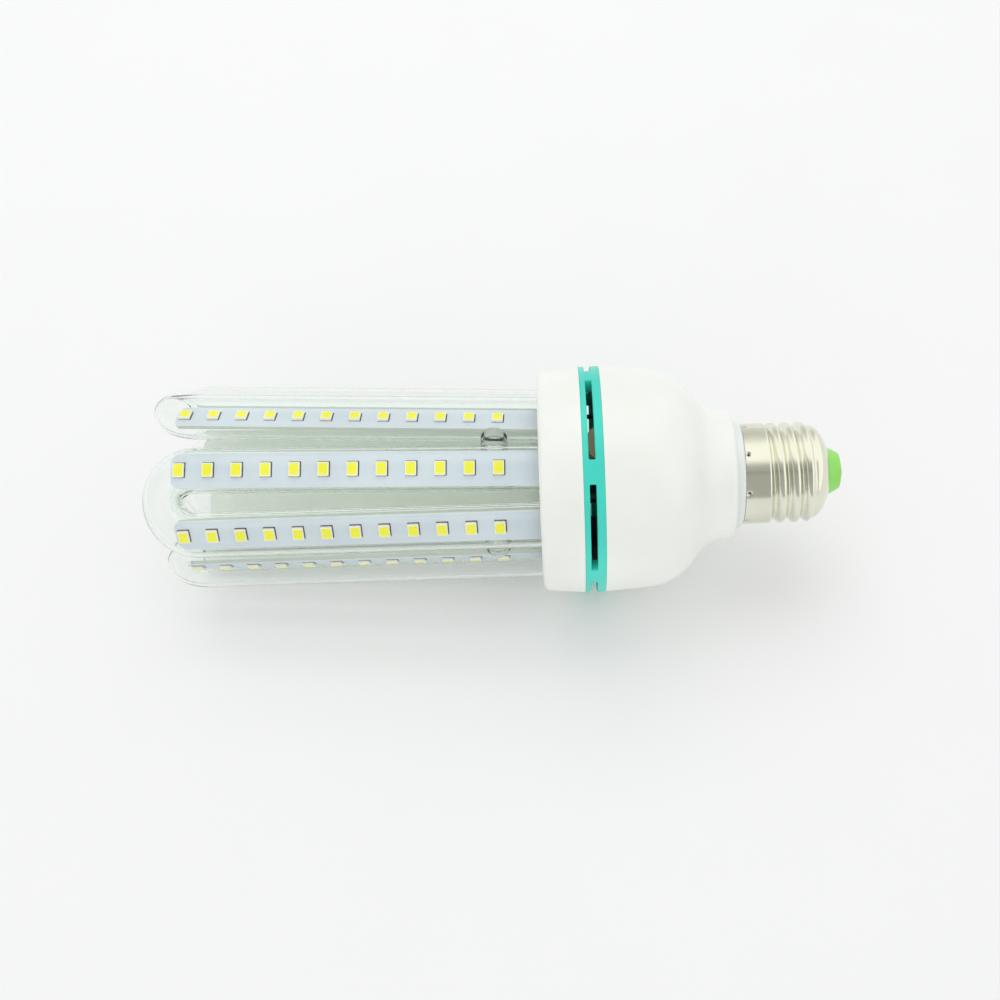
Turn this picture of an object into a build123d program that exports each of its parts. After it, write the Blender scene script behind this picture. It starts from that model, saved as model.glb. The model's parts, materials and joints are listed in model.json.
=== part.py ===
from build123d import *
from math import atan2, cos, degrees, radians, sin, sqrt, tan
import os

# LED bulb with four U-bent glass tubes on a screw cap, in millimetres.
# Each piece is drawn upright about Z, with the centre contact at the bottom and the tubes on top.
# At the end the whole bulb is laid down as it comes to rest on a table.

# Screw cap, size E27; the plain shell has the radius of the thread's crests
cap_radius = 13.2
cap_straight = 18.1
cap_dome = 4.5            # height of the rounded end
cap_dome_radius = 8.5     # its rounding
cap_mouth_radius = 6.3    # hole that the insulator fills
cap_sheet = 0.35
cap_skirt = 6.6           # plain part of the shell, above the thread
thread_wall = 1.6         # sheet and depth of the thread together

# Insulator and the rivet that is the centre contact
nose_height = 3.05
nose_tip_radius = 4.66
nose_edge = 0.35          # rounding round the tip
plug_height = 4.2         # inside the cap
plug_width = 2.6          # how far the plug spreads past the hole
contact_radius = 2.6
contact_height = 0.5
rivet_radius = 1.2

# Glass tubes: eight legs on one circle, joined in pairs by half-round bends
tube_count = 4
tube_radius = 5.8
tube_wall = 0.8
leg_circle_radius = 19.5
tube_seat = 7.8           # length of leg below the cover's face
bridge_radius = 3.4       # glass bridge from tube to tube
bridge_wall = 0.8
bridge_lift = 11.2        # its axis above the cover's face

# Tubes bent by hand don't stand quite straight; degrees for each tube, back, bottom, front and top
tube_splay = (0.0, 0.0, 0.0, 2.6)   # outwards
tube_lean = (0.0, 0.0, 0.9, 0.6)    # sideways
tube_spread = (0.0, 0.0, 0.7, 0.0)  # each leg away from the other

# LED strips, one in each leg
led_count = 12
led_pitch = 7.335
led_length = 2.8          # along the strip
led_width = 3.5
led_height = 0.8
led_lift = 10.2           # lowest LED above the cover's face
strip_thickness = 1.0
strip_front = 0.28        # the front face lies this far outside the leg's axis
strip_end = 2.1           # strip past the topmost LED
strip_corner = 3.4
strip_into_bend = 5.4
strip_tail = 3.0          # strip below the leg's lower end

# Tube cover
cover_height = 10.76
cover_taper = 0.85
cover_edge = 2.0          # rounding round the face
cover_plate = 2.2
socket_wall = 1.2
socket_lip = 1.0          # floor ring under each leg

# Vent ring; the width of the body follows the tubes
rim_margin = 4.35         # from the outside of the legs to the outside of the ring
ring_height = 5.3
case_wall = 1.8
lip_wall = 1.65           # sleeve that centres cover and housing
lip_height = 3.0          # its depth in the housing
slot_count = 6
slot_angle = 48.0
slot_height = 1.6
slot_sill = 2.2           # below the slots
pillar_angle = 0.0        # where the first pillar stands

# Lower housing: wall, shoulder and neck are straight lines with wide roundings between them
housing_height = 33.97
housing_step = 0.05       # the housing is this much slimmer than the ring
shoulder_drop = 18.4      # from the mouth down to where wall and shoulder meet
shoulder_inset = 1.35     # draft of the wall over that height
shoulder_round = 16.0
neck_height = 6.75        # from the neck's end up to where shoulder and neck meet
neck_round = 8.0
neck_step = 2.45          # from the collar out to the neck
neck_flare = 0.63
neck_edge = 1.6
collar_overhang = 0.9     # from the shell out to the collar
collar_height = 2.1
collar_edge = 0.7
spigot_depth = 6.2
spigot_wall = 2.25
stake_drop = 1.0          # groove for the cap's stakes, below the rim
stake_width = 1.5
stake_depth = 0.9
neck_tunnel = 3.0         # straight bore above the collar
ledge_width = 2.35
ledge_height = 2.4

# Driver
board_depth = 10.0        # from the housing's mouth down to the board
board_thickness = 1.6
lead_radius = 0.6
part_margin = 0.8         # from the parts on the board to the ring
capacitor_radius = 6.25
capacitor_height = 20.0
core_width = 15.0
core_height = 13.0
core_depth = 5.0
core_limb = 4.6           # middle limb, twice as wide as the outer ones
core_yoke = 2.6
coil_build = 2.6          # thickness of the winding
film_width = 13.0
film_depth = 6.0
film_height = 11.0
varistor_radius = 4.9
varistor_thickness = 3.8
varistor_lift = 4.6
rectifier_length = 6.4
rectifier_width = 4.8
rectifier_height = 2.6
fuse_radius = 2.0
fuse_height = 9.0
link_height = 1.5
link_thickness = 0.4

# Clearances
fit = 0.1                 # cap on spigot, insulator in cap
tube_gap = 0.15           # leg in its socket
lip_gap = 0.15            # sleeve in cover and housing
board_gap = 0.3
strip_gap = 0.5           # strip to glass
solder_gap = 0.2          # lead or link to what it is soldered to

# Heights worked out from the sizes above
z_nose = contact_height
z_mouth = z_nose + nose_height
z_dome = z_mouth + cap_dome
z_rim = z_dome + cap_straight
z_neck = z_rim + collar_height
z_ring = z_neck + housing_height
z_cover = z_ring + ring_height
z_face = z_cover + cover_height
z_seat = z_face - tube_seat
z_strip_low = z_seat - strip_tail
z_led = z_face + led_lift
z_strip_top = z_led + (led_count - 1) * led_pitch + strip_end
z_bend = z_strip_top - strip_into_bend
z_bridge = z_face + bridge_lift
z_board = z_ring - board_depth

# Radii and angles worked out from the sizes above
leg_step = 180 / tube_count
half_step = radians(leg_step / 2)
bend_radius = leg_circle_radius * sin(half_step)
tube_bore = tube_radius - tube_wall
strip_width = 2 * (tube_bore - strip_gap)
strip_rear = strip_front - strip_thickness
ring_radius = leg_circle_radius + tube_radius + rim_margin
case_bore = ring_radius - case_wall
lip_radius = case_bore - lip_gap
ring_bore = lip_radius - lip_wall
thread_bore = cap_radius - thread_wall
spigot_radius = cap_radius - cap_sheet - fit
neck_bore = spigot_radius - spigot_wall
collar_radius = cap_radius + collar_overhang
leg_angles = [180 + (k + 0.5) * leg_step for k in range(2 * tube_count)]
legs = range(2 * tube_count)
pieces = {}


# Upright plane at an angle round the bulb: x runs round it, y is up and z points outwards
def facing(angle, radius):
    turn = radians(angle)
    return Plane(
        origin=(radius * cos(turn), radius * sin(turn), 0),
        x_dir=(-sin(turn), cos(turn), 0),
        z_dir=(cos(turn), sin(turn), 0),
    )


# Plane of a bent tube: its origin lies between the legs at the height of the bridges
def tube_plane(tube):
    first, last = leg_angles[2 * tube], leg_angles[2 * tube + 1]
    upright = facing((first + last) / 2, leg_circle_radius * cos(half_step))
    splay, lean = tan(radians(tube_splay[tube])), tan(radians(tube_lean[tube]))
    along = (upright.z_dir * splay + upright.x_dir * lean + Vector(0, 0, 1)).normalized()
    x_dir = (upright.x_dir - along * upright.x_dir.dot(along)).normalized()
    return Plane(upright.from_local_coords((0, z_bridge, 0)), x_dir=x_dir, z_dir=x_dir.cross(along))


# Plane of a leg: x runs across its strip, y along the leg and z outwards, with heights as when upright
def leg_plane(leg):
    side = leg % 2 * 2 - 1
    plane = tube_plane(leg // 2)
    spread = radians(tube_spread[leg // 2])
    along = plane.x_dir * (side * sin(spread)) + plane.y_dir * cos(spread)
    outward = facing(leg_angles[leg], 0).z_dir
    outward = (outward - along * outward.dot(along)).normalized()
    axis_point = plane.from_local_coords((side * bend_radius, 0, 0)) - along * z_bridge
    return Plane(axis_point, x_dir=along.cross(outward), z_dir=outward)


# Plane across a leg at a height
def leg_section(leg, height):
    plane = leg_plane(leg)
    return Plane(plane.from_local_coords((0, height, 0)), x_dir=plane.x_dir, z_dir=plane.y_dir)


# Radius at which a part of this width and depth just clears the ring's bore
def beside_ring(width, depth):
    return sqrt((ring_bore - part_margin) ** 2 - (width / 2) ** 2) - depth / 2


# Screw shell: a drawn cup with a hole in its end
with BuildPart() as screw_shell:
    with BuildSketch(Plane.XZ):
        with BuildLine():
            RadiusArc((cap_radius, z_dome), (cap_mouth_radius, z_mouth), cap_dome_radius)
            Polyline(
                (cap_mouth_radius, z_mouth),
                (cap_mouth_radius, z_mouth + cap_sheet),
                (thread_bore, z_dome + cap_sheet),
                (thread_bore, z_rim - cap_skirt),
                (cap_radius - cap_sheet, z_rim - cap_skirt),
                (cap_radius - cap_sheet, z_rim),
                (cap_radius, z_rim),
                (cap_radius, z_dome),
            )
        make_face()
    revolve(axis=Axis.Z)
pieces["screw_shell"] = screw_shell.part

# Insulator: a blunt cone outside the cap, and a plug that spreads inside it
plug_radius = cap_mouth_radius + plug_width
plug_slope = cap_dome / (thread_bore - cap_mouth_radius)
z_plug = z_mouth + cap_sheet + fit
with BuildPart() as base_insulator:
    with BuildSketch(Plane.XZ):
        with BuildLine():
            Polyline(
                (rivet_radius + fit, z_nose),
                (nose_tip_radius, z_nose),
                (cap_mouth_radius, z_mouth),
                (cap_mouth_radius - fit, z_mouth),
                (cap_mouth_radius - fit, z_plug),
                (plug_radius, z_plug + (plug_width + fit) * plug_slope),
                (plug_radius, z_mouth + plug_height),
                (rivet_radius + fit, z_mouth + plug_height),
                close=True,
            )
        make_face()
    revolve(axis=Axis.Z)
    tip = base_insulator.edges().filter_by(GeomType.CIRCLE).group_by(Axis.Z)[0].sort_by(SortBy.RADIUS)[-1]
    fillet(tip, nose_edge)
pieces["base_insulator"] = base_insulator.part

# Centre contact: rivet head outside, shank up through the insulator
z_rivet = z_mouth + plug_height + lead_radius
with BuildPart() as centre_contact:
    with BuildSketch(Plane.XY):
        Circle(contact_radius)
    extrude(amount=contact_height)
    with BuildSketch(Plane.XY.offset(contact_height)):
        Circle(rivet_radius)
    extrude(amount=z_rivet - contact_height)
pieces["centre_contact"] = centre_contact.part

# Lower housing: wall, round shoulder, neck, collar and the spigot inside the cap, with a groove for stakes
mouth_radius = ring_radius - housing_step
shoulder_corner = (mouth_radius - shoulder_inset, z_ring - shoulder_drop)
neck_end = (collar_radius + neck_step, z_neck)
neck_corner = (neck_end[0] + neck_flare, z_neck + neck_height)
collar_end = (collar_radius, z_rim)
z_groove = z_rim - stake_drop
z_ledge = z_board - board_thickness
with BuildPart() as lower_housing:
    with BuildSketch(Plane.XZ) as housing_profile:
        with BuildLine():
            Polyline(
                (mouth_radius, z_ring),
                shoulder_corner,
                neck_corner,
                neck_end,
                (collar_radius, z_neck),
                collar_end,
                (spigot_radius, z_rim),
                (spigot_radius, z_groove + stake_width / 2),
                (spigot_radius - stake_depth, z_groove + stake_width / 2),
                (spigot_radius - stake_depth, z_groove - stake_width / 2),
                (spigot_radius, z_groove - stake_width / 2),
                (spigot_radius, z_rim - spigot_depth),
                (neck_bore, z_rim - spigot_depth),
                (neck_bore, z_neck + neck_tunnel),
                (case_bore - ledge_width, z_ledge - ledge_height),
                (case_bore - ledge_width, z_ledge),
                (case_bore, z_ledge),
                (case_bore, z_ring),
                close=True,
            )
        make_face()
        for corner, rounding in (
            (shoulder_corner, shoulder_round),
            (neck_corner, neck_round),
            (neck_end, neck_edge),
            (collar_end, collar_edge),
        ):
            fillet(housing_profile.vertices().sort_by_distance(corner)[0], rounding)
    revolve(axis=Axis.Z)
pieces["lower_housing"] = lower_housing.part

# Vent ring: a band with slots between pillars, and a sleeve below it and above it, up to the sockets
hole_radius = tube_radius + tube_gap
socket_dip = (hole_radius + socket_wall) * sin(radians(max(tube_splay)))
z_lip = z_seat - socket_lip - socket_dip - lip_gap
with BuildPart() as vent_ring:
    with BuildSketch(Plane.XZ):
        with BuildLine():
            Polyline(
                (ring_bore, z_ring - lip_height),
                (lip_radius, z_ring - lip_height),
                (lip_radius, z_ring),
                (ring_radius, z_ring),
                (ring_radius, z_cover),
                (lip_radius, z_cover),
                (lip_radius, z_lip),
                (ring_bore, z_lip),
                close=True,
            )
        make_face()
    revolve(axis=Axis.Z)
    slot_middle = z_ring + slot_sill + slot_height / 2
    slot_pitch = 360 / slot_count
    for slot in range(slot_count):
        start = pillar_angle + slot * slot_pitch + (slot_pitch - slot_angle) / 2
        with BuildSketch(Plane.XZ.rotated((0, 0, start))):
            with Locations(((ring_bore + ring_radius) / 2, slot_middle)):
                Rectangle(ring_radius - ring_bore + 2 * lip_gap, slot_height)
        revolve(axis=Axis.Z, revolution_arc=slot_angle, mode=Mode.SUBTRACT)
pieces["vent_ring"] = vent_ring.part

# Tube cover: a shallow tapered cap with a socket for each leg
face_radius = ring_radius - cover_taper
with BuildPart() as tube_cover:
    with BuildSketch(Plane.XZ):
        with BuildLine():
            Polyline(
                (0, z_face - cover_plate),
                (case_bore, z_face - cover_plate),
                (case_bore, z_cover),
                (ring_radius, z_cover),
                (face_radius, z_face),
                (0, z_face),
                close=True,
            )
        make_face()
    revolve(axis=Axis.Z)
    rim = tube_cover.edges().filter_by(GeomType.CIRCLE).group_by(Axis.Z)[-1]
    fillet(rim, cover_edge)
    for leg in legs:
        with BuildSketch(leg_section(leg, z_seat - socket_lip)):
            Circle(hole_radius + socket_wall)
        extrude(amount=tube_seat + socket_lip - cover_plate / 2)
    for leg in legs:
        with BuildSketch(leg_section(leg, z_seat)):
            Circle(hole_radius)
        extrude(amount=2 * tube_seat, mode=Mode.SUBTRACT)
        with BuildSketch(leg_section(leg, z_seat)):
            Circle(tube_bore)
        extrude(amount=-2 * socket_lip, mode=Mode.SUBTRACT)
pieces["tube_cover"] = tube_cover.part

# Glass tubes: two legs and a half-round bend; each bridge is shared by two tubes and meets in its middle
for tube in range(tube_count):
    first, last = leg_angles[2 * tube], leg_angles[2 * tube + 1]
    stubs = [(first, -1)] * (tube > 0) + [(last, 1)] * (tube < tube_count - 1)
    # All tubes are equally high; legs that spread start their wider bend a little lower
    spread = radians(tube_spread[tube])
    widen = (1 + sin(spread)) / cos(spread)
    bend_top = z_bend + bend_radius - z_bridge
    bend_run = (bend_top - bend_radius * widen) / (cos(spread) + sin(spread) * widen)
    seat_run = z_seat - z_bridge
    bend_half, bend_low = bend_radius + bend_run * sin(spread), bend_run * cos(spread)
    seat_half, seat_low = bend_radius + seat_run * sin(spread), seat_run * cos(spread)
    with BuildPart() as u_tube:
        for radius, stub_radius, mode in (
            (tube_radius, bridge_radius, Mode.ADD),
            (tube_bore, bridge_radius - bridge_wall, Mode.SUBTRACT),
        ):
            with BuildLine(tube_plane(tube)) as path:
                Line((-seat_half, seat_low), (-bend_half, bend_low))
                ThreePointArc((-bend_half, bend_low), (0, bend_top), (bend_half, bend_low))
                Line((bend_half, bend_low), (seat_half, seat_low))
            with BuildSketch(Plane(path.line @ 0, z_dir=path.line % 0)):
                Circle(radius)
            sweep(path=path.line, mode=mode)
            for angle, side in stubs:
                middle = facing(angle + side * leg_step / 2, leg_circle_radius * cos(half_step))
                across = Plane(middle.from_local_coords((0, z_bridge, 0)), z_dir=middle.x_dir * -side)
                with BuildSketch(across):
                    Circle(stub_radius)
                extrude(amount=bend_radius, mode=mode)
        # The stub's root fills the leg's bore, which is opened again
        for leg in (2 * tube, 2 * tube + 1):
            with BuildSketch(leg_section(leg, z_seat)):
                Circle(tube_bore)
            extrude(amount=bend_run - seat_run, mode=Mode.SUBTRACT)
    pieces[f"u_tube_{tube + 1}"] = u_tube.part

# LED strips and their LEDs, facing outwards
for leg in legs:
    with BuildPart() as led_strip:
        with BuildSketch(leg_plane(leg).offset(strip_front - strip_thickness)) as outline:
            with Locations((0, (z_strip_low + z_strip_top) / 2)):
                Rectangle(strip_width, z_strip_top - z_strip_low)
            fillet(outline.vertices().group_by(Axis.Z)[-1], strip_corner)
        extrude(amount=strip_thickness)
    pieces[f"led_strip_{leg + 1}"] = led_strip.part
    with BuildPart() as led_row:
        with BuildSketch(leg_plane(leg).offset(strip_front)):
            with Locations((0, z_led + (led_count - 1) * led_pitch / 2)):
                with GridLocations(led_width, led_pitch, 1, led_count):
                    Rectangle(led_width, led_length)
        extrude(amount=led_height)
    pieces[f"led_row_{leg + 1}"] = led_row.part

# Links that join the strips in a chain, behind the strips and below the sockets
link_edge = strip_width / 2 - link_height
z_link = z_strip_low + solder_gap
with BuildPart() as strip_links:
    for leg in legs[:-1]:
        start = leg_plane(leg).from_local_coords((link_edge, z_link + link_height / 2, strip_rear))
        end = leg_plane(leg + 1).from_local_coords((-link_edge, z_link + link_height / 2, strip_rear))
        reach = end - start
        outward = reach.cross(Vector(0, 0, 1)).normalized()
        with BuildSketch(Plane((start + end) * 0.5 - outward * solder_gap, x_dir=reach, z_dir=outward)):
            Rectangle(reach.length, link_height)
        extrude(amount=-link_thickness)
pieces["strip_links"] = strip_links.part

# Leads from the board up to the first and the last strip
for name, leg in (("strip_supply_lead", legs[0]), ("strip_return_lead", legs[-1])):
    end = leg_plane(leg).from_local_coords((0, z_link, strip_rear - solder_gap - lead_radius))
    with BuildPart() as strip_lead:
        with BuildSketch(Plane((end.X, end.Y, z_board), z_dir=(0, 0, 1))):
            Circle(lead_radius)
        extrude(amount=z_link + link_height - z_board)
    pieces[name] = strip_lead.part

# Driver board on the housing's ledge
with BuildPart() as driver_board:
    with BuildSketch(Plane.XY.offset(z_ledge)):
        Circle(case_bore - board_gap)
    extrude(amount=board_thickness)
pieces["driver_board"] = driver_board.part

# Smoothing capacitor in the middle of the board
with BuildPart() as smoothing_capacitor:
    with BuildSketch(Plane.XY.offset(z_board)):
        Circle(capacitor_radius)
    extrude(amount=capacitor_height)
pieces["smoothing_capacitor"] = smoothing_capacitor.part

# Transformer: a core with two windows, and a winding round its middle limb
window_width = (core_width - 2 * core_limb) / 2
window_height = core_height - 2 * core_yoke
coil_depth = core_depth + 2 * coil_build
core_place = facing(295, beside_ring(core_width, coil_depth))
with BuildPart() as transformer_core:
    with BuildSketch(core_place):
        with Locations((0, z_board + core_height / 2)):
            Rectangle(core_width, core_height)
            with GridLocations(core_limb + window_width, 1, 2, 1):
                Rectangle(window_width, window_height, mode=Mode.SUBTRACT)
    extrude(amount=core_depth / 2, both=True)
pieces["transformer_core"] = transformer_core.part

with BuildPart() as transformer_coil:
    coil_foot = core_place.from_local_coords((0, z_board + core_yoke + fit, 0))
    with BuildSketch(Plane(coil_foot, x_dir=core_place.x_dir, z_dir=(0, 0, 1))):
        RectangleRounded(core_limb + 2 * coil_build, coil_depth, coil_build / 2)
        Rectangle(core_limb + 2 * fit, core_depth + 2 * fit, mode=Mode.SUBTRACT)
    extrude(amount=window_height - 2 * fit)
pieces["transformer_coil"] = transformer_coil.part

# Film capacitor, varistor, rectifier and fuse resistor stand round the board's middle
film_place = facing(180, capacitor_radius + part_margin + film_depth)
with BuildPart() as film_capacitor:
    with BuildSketch(film_place):
        with Locations((0, z_board + film_height / 2)):
            Rectangle(film_width, film_height)
    extrude(amount=-film_depth)
pieces["film_capacitor"] = film_capacitor.part

varistor_place = facing(78, beside_ring(2 * varistor_radius, varistor_thickness))
with BuildPart() as varistor:
    with BuildSketch(varistor_place):
        with Locations((0, z_board + varistor_lift + varistor_radius)):
            Circle(varistor_radius)
    extrude(amount=varistor_thickness / 2, both=True)
    with BuildSketch(varistor_place):
        with Locations((0, z_board + (varistor_lift + varistor_radius) / 2)):
            with GridLocations(varistor_radius, 1, 2, 1):
                Rectangle(2 * lead_radius, varistor_lift + varistor_radius)
    extrude(amount=lead_radius, both=True)
pieces["varistor"] = varistor.part

rectifier_place = facing(250, beside_ring(rectifier_length, rectifier_width))
with BuildPart() as rectifier:
    with BuildSketch(rectifier_place):
        with Locations((0, z_board + rectifier_height / 2)):
            Rectangle(rectifier_length, rectifier_height)
    extrude(amount=rectifier_width / 2, both=True)
pieces["rectifier"] = rectifier.part

fuse_place = facing(20, beside_ring(2 * fuse_radius, 2 * fuse_radius))
with BuildPart() as fuse_resistor:
    with BuildSketch(Plane(fuse_place.from_local_coords((0, z_board, 0)), z_dir=(0, 0, 1))):
        Circle(fuse_radius)
    extrude(amount=fuse_height)
pieces["fuse_resistor"] = fuse_resistor.part

# Live lead from the rivet up to the board
with BuildPart() as live_lead:
    with BuildSketch(Plane.XY.offset(z_rivet)):
        Circle(lead_radius)
    extrude(amount=z_ledge - z_rivet)
pieces["live_lead"] = live_lead.part

# Neutral lead from the shell's wall, below the spigot, inwards and up to the board
z_tap = z_rim - spigot_depth - 2 * lead_radius
neutral_radius = neck_bore - 2 * lead_radius - solder_gap
with BuildPart() as neutral_lead:
    with BuildLine(Plane.XZ) as route:
        Polyline(
            (thread_bore - fit, z_tap),
            (neutral_radius, z_tap),
            (neutral_radius, z_ledge),
        )
    with BuildSketch(Plane(route.line @ 0, z_dir=route.line % 0)):
        Circle(lead_radius)
    sweep(path=route.line, transition=Transition.RIGHT)
pieces["neutral_lead"] = neutral_lead.part

# At rest the bulb lies on the ring's edge and on the ends of the two lowest legs, so its axis tilts.
# Its base points to +X, and the middle of its box stands on the origin.
leg_reach = leg_circle_radius * cos(half_step) + tube_radius
tilt = atan2(ring_radius - leg_reach, z_bend - z_cover)
lying = Plane((0, 0, 0), x_dir=(0, -1, 0), z_dir=(-cos(tilt), 0, -sin(tilt)))
laid = {name: lying.location * piece for name, piece in pieces.items()}
box = Compound(list(laid.values())).bounding_box()
foot = Vector(box.center().X, box.center().Y, box.min.Z)

os.makedirs("parts", exist_ok=True)
for name, piece in laid.items():
    placed = Location(-foot) * piece
    placed.label = name
    export_step(placed, f"parts/{name}.step")
size = box.size
print(f"{len(pieces)} pieces, {size.X:.1f} x {size.Y:.1f} x {size.Z:.1f} mm, tilt {degrees(tilt):.2f}")
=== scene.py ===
# %% [markdown]
# # An LED bulb with four glass tubes
# The bulb lies on a white table: a screw cap on the right, a white housing with a teal vent ring,
# and four U-bent glass tubes with a strip of LEDs in each leg. The solids come from the CAD model.
# Blender adds the fine work: the screw thread, the LEDs' windows, drawn glass and the finishes.

# %% Load the solids
import json
from math import atan2, cos, exp, floor, hypot, pi, radians, sin

import bpy
import numpy as np
from mathutils import Matrix, Vector, noise


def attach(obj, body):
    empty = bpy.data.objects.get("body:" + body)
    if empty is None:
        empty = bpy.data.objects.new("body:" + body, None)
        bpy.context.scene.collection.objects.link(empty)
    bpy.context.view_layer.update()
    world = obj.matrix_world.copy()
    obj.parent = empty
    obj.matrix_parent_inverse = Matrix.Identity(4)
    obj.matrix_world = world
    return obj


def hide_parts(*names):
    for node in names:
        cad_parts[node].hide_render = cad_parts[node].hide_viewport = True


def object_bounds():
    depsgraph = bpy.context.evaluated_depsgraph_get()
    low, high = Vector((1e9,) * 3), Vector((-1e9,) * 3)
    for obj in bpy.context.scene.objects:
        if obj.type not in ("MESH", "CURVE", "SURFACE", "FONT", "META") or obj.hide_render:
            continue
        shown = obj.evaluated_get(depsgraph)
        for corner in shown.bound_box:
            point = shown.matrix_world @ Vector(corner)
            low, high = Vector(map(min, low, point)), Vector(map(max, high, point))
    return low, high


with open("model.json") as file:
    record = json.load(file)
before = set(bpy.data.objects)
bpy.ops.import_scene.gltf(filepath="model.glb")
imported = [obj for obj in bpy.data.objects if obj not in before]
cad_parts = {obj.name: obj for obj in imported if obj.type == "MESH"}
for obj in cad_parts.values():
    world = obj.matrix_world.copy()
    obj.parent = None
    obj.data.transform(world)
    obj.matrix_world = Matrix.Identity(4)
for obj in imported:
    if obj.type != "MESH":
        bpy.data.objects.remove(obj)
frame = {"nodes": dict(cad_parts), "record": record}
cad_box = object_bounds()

mm = 0.001
nodes = frame["nodes"]
print(len(nodes), "solids, box", [tuple(round(c, 4) for c in corner) for corner in cad_box])

# %% [markdown]
# ## Standing the bulb up
# The bulb lies a little tilted, which is awkward to model in. The cap's mount in the record gives the
# bulb's axis, so a matrix can turn an upright bulb into the lying one. New pieces are made upright,
# with the contact's tip at height zero, and laid down when they are finished.

# %% The upright frame
cap_mount = next(m for m in frame["record"]["mounts"] if m["name"] == "screw_cap")
own_z = -Vector(cap_mount["axis"]).normalized()
own_x = Vector((0, -1, 0))
own_y = own_z.cross(own_x)
on_axis = Vector(cap_mount["pos_m"])
tip = min(v.co.dot(own_z) for v in nodes["centre_contact"].data.vertices)
lay = Matrix((own_x, own_y, own_z)).transposed().to_4x4()
lay.translation = on_axis + own_z * (tip - on_axis.dot(own_z))
stand = np.array(lay.inverted())


def upright(node):
    """A solid's corners in the upright frame, as columns x, y, z, radius and angle."""
    at = np.array([v.co for v in nodes[node].data.vertices]) @ stand[:3, :3].T + stand[:3, 3]
    radius = np.hypot(at[:, 0], at[:, 1])
    return np.column_stack((at, radius, np.degrees(np.arctan2(at[:, 1], at[:, 0]))))


shell_at = upright("screw_shell")
z_mouth, z_rim, cap_radius = shell_at[:, 2].min(), shell_at[:, 2].max(), shell_at[:, 3].max()
print(f"cap from {z_mouth / mm:.2f} to {z_rim / mm:.2f} mm, radius {cap_radius / mm:.2f} mm")

# %% [markdown]
# ## Camera
# The camera comes first, because every later choice is judged through it. It looks down on the bulb
# from the front. Its place is given from the lowest LED on the axis: a distance, a small turn and a
# small roll, which were found by fitting the rows of LEDs to the picture.

# %% Camera
view_angle = radians(57.4)
view_turn = radians(2.41)
view_roll = radians(-2.02)
view_from = (14.33 * mm, 4.63 * mm, 355.59 * mm)
lens, sensor = 48.44, 36.0

led_at = upright("led_row_1")
led_length = 2.8 * mm
z_led = led_at[:, 2].min() + led_length / 2
to_camera = own_x * cos(view_angle) + own_y * sin(view_angle)
picture_up = own_y * cos(view_angle) - own_x * sin(view_angle)
picture_right = -own_z
ahead = -to_camera * cos(view_turn) - picture_right * sin(view_turn)
level = picture_right * cos(view_turn) - to_camera * sin(view_turn)
right = level * cos(view_roll) + picture_up * sin(view_roll)
up = picture_up * cos(view_roll) - level * sin(view_roll)

camera_data = bpy.data.cameras.new("photo_camera")
camera_data.lens, camera_data.sensor_width = lens, sensor
camera = bpy.data.objects.new("photo_camera", camera_data)
bpy.context.scene.collection.objects.link(camera)
turned = Matrix((right, up, -ahead)).transposed().to_4x4()
axis_point = lay @ Vector((0, 0, z_led))
aside, below, away = view_from
turned.translation = axis_point + picture_right * aside - picture_up * below + to_camera * away
camera.matrix_world = turned
bpy.context.scene.camera = camera
print("camera at", [round(c, 4) for c in camera.location], "looking", [round(c, 3) for c in ahead])

# %% [markdown]
# ## Light
# The picture was taken on a white table in soft light from above and behind, so a faint shadow falls to
# the front. A pale world gives most of the light. Where the camera looks past the table's edge, it sees
# a backdrop as bright as the far table, so that no horizon shows.

# %% Sky and backdrop
white = (1.0, 1.0, 1.0, 1)
sky_strength, backdrop_strength, mirror_strength = 0.85, 0.79, 1.20
world = bpy.data.worlds.new("soft_room")
bpy.context.scene.world = world
world.use_nodes = True
room = world.node_tree
room.nodes.remove(room.nodes["Background"])


def room_light(strength):
    """A light of the room, white unless something is linked to its colour."""
    light = room.nodes.new("ShaderNodeBackground")
    light.inputs["Color"].default_value = white
    light.inputs["Strength"].default_value = strength
    return light


sky, backdrop, mirror_room = (room_light(s) for s in (sky_strength, backdrop_strength, mirror_strength))
print("sky", sky_strength, "backdrop", backdrop_strength)

# %% [markdown]
# Polished metal needs bright and dark things to mirror, such as a bright ceiling and the dim side of the
# room where the camera stands. So mirrored rays see a room of their own. From below to above it runs from
# the table in front over the dark camera to the bright ceiling. It is dimmer behind the bulb and bright
# on the side that the cap points to.

# %% Room for mirrored rays
aim = room.nodes.new("ShaderNodeTexCoord")


def pointing(direction, low, high, at_low=0.0, at_high=1.0):
    """How far a ray points in a direction, spread from at_low to at_high."""
    reach = room.nodes.new("ShaderNodeVectorMath")
    reach.operation = "DOT_PRODUCT"
    reach.inputs[1].default_value = direction
    spread = room.nodes.new("ShaderNodeMapRange")
    spread.inputs["From Min"].default_value, spread.inputs["From Max"].default_value = low, high
    spread.inputs["To Min"].default_value, spread.inputs["To Max"].default_value = at_low, at_high
    room.links.new(aim.outputs["Generated"], reach.inputs[0])
    room.links.new(reach.outputs["Value"], spread.inputs["Value"])
    return spread.outputs["Result"]


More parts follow.
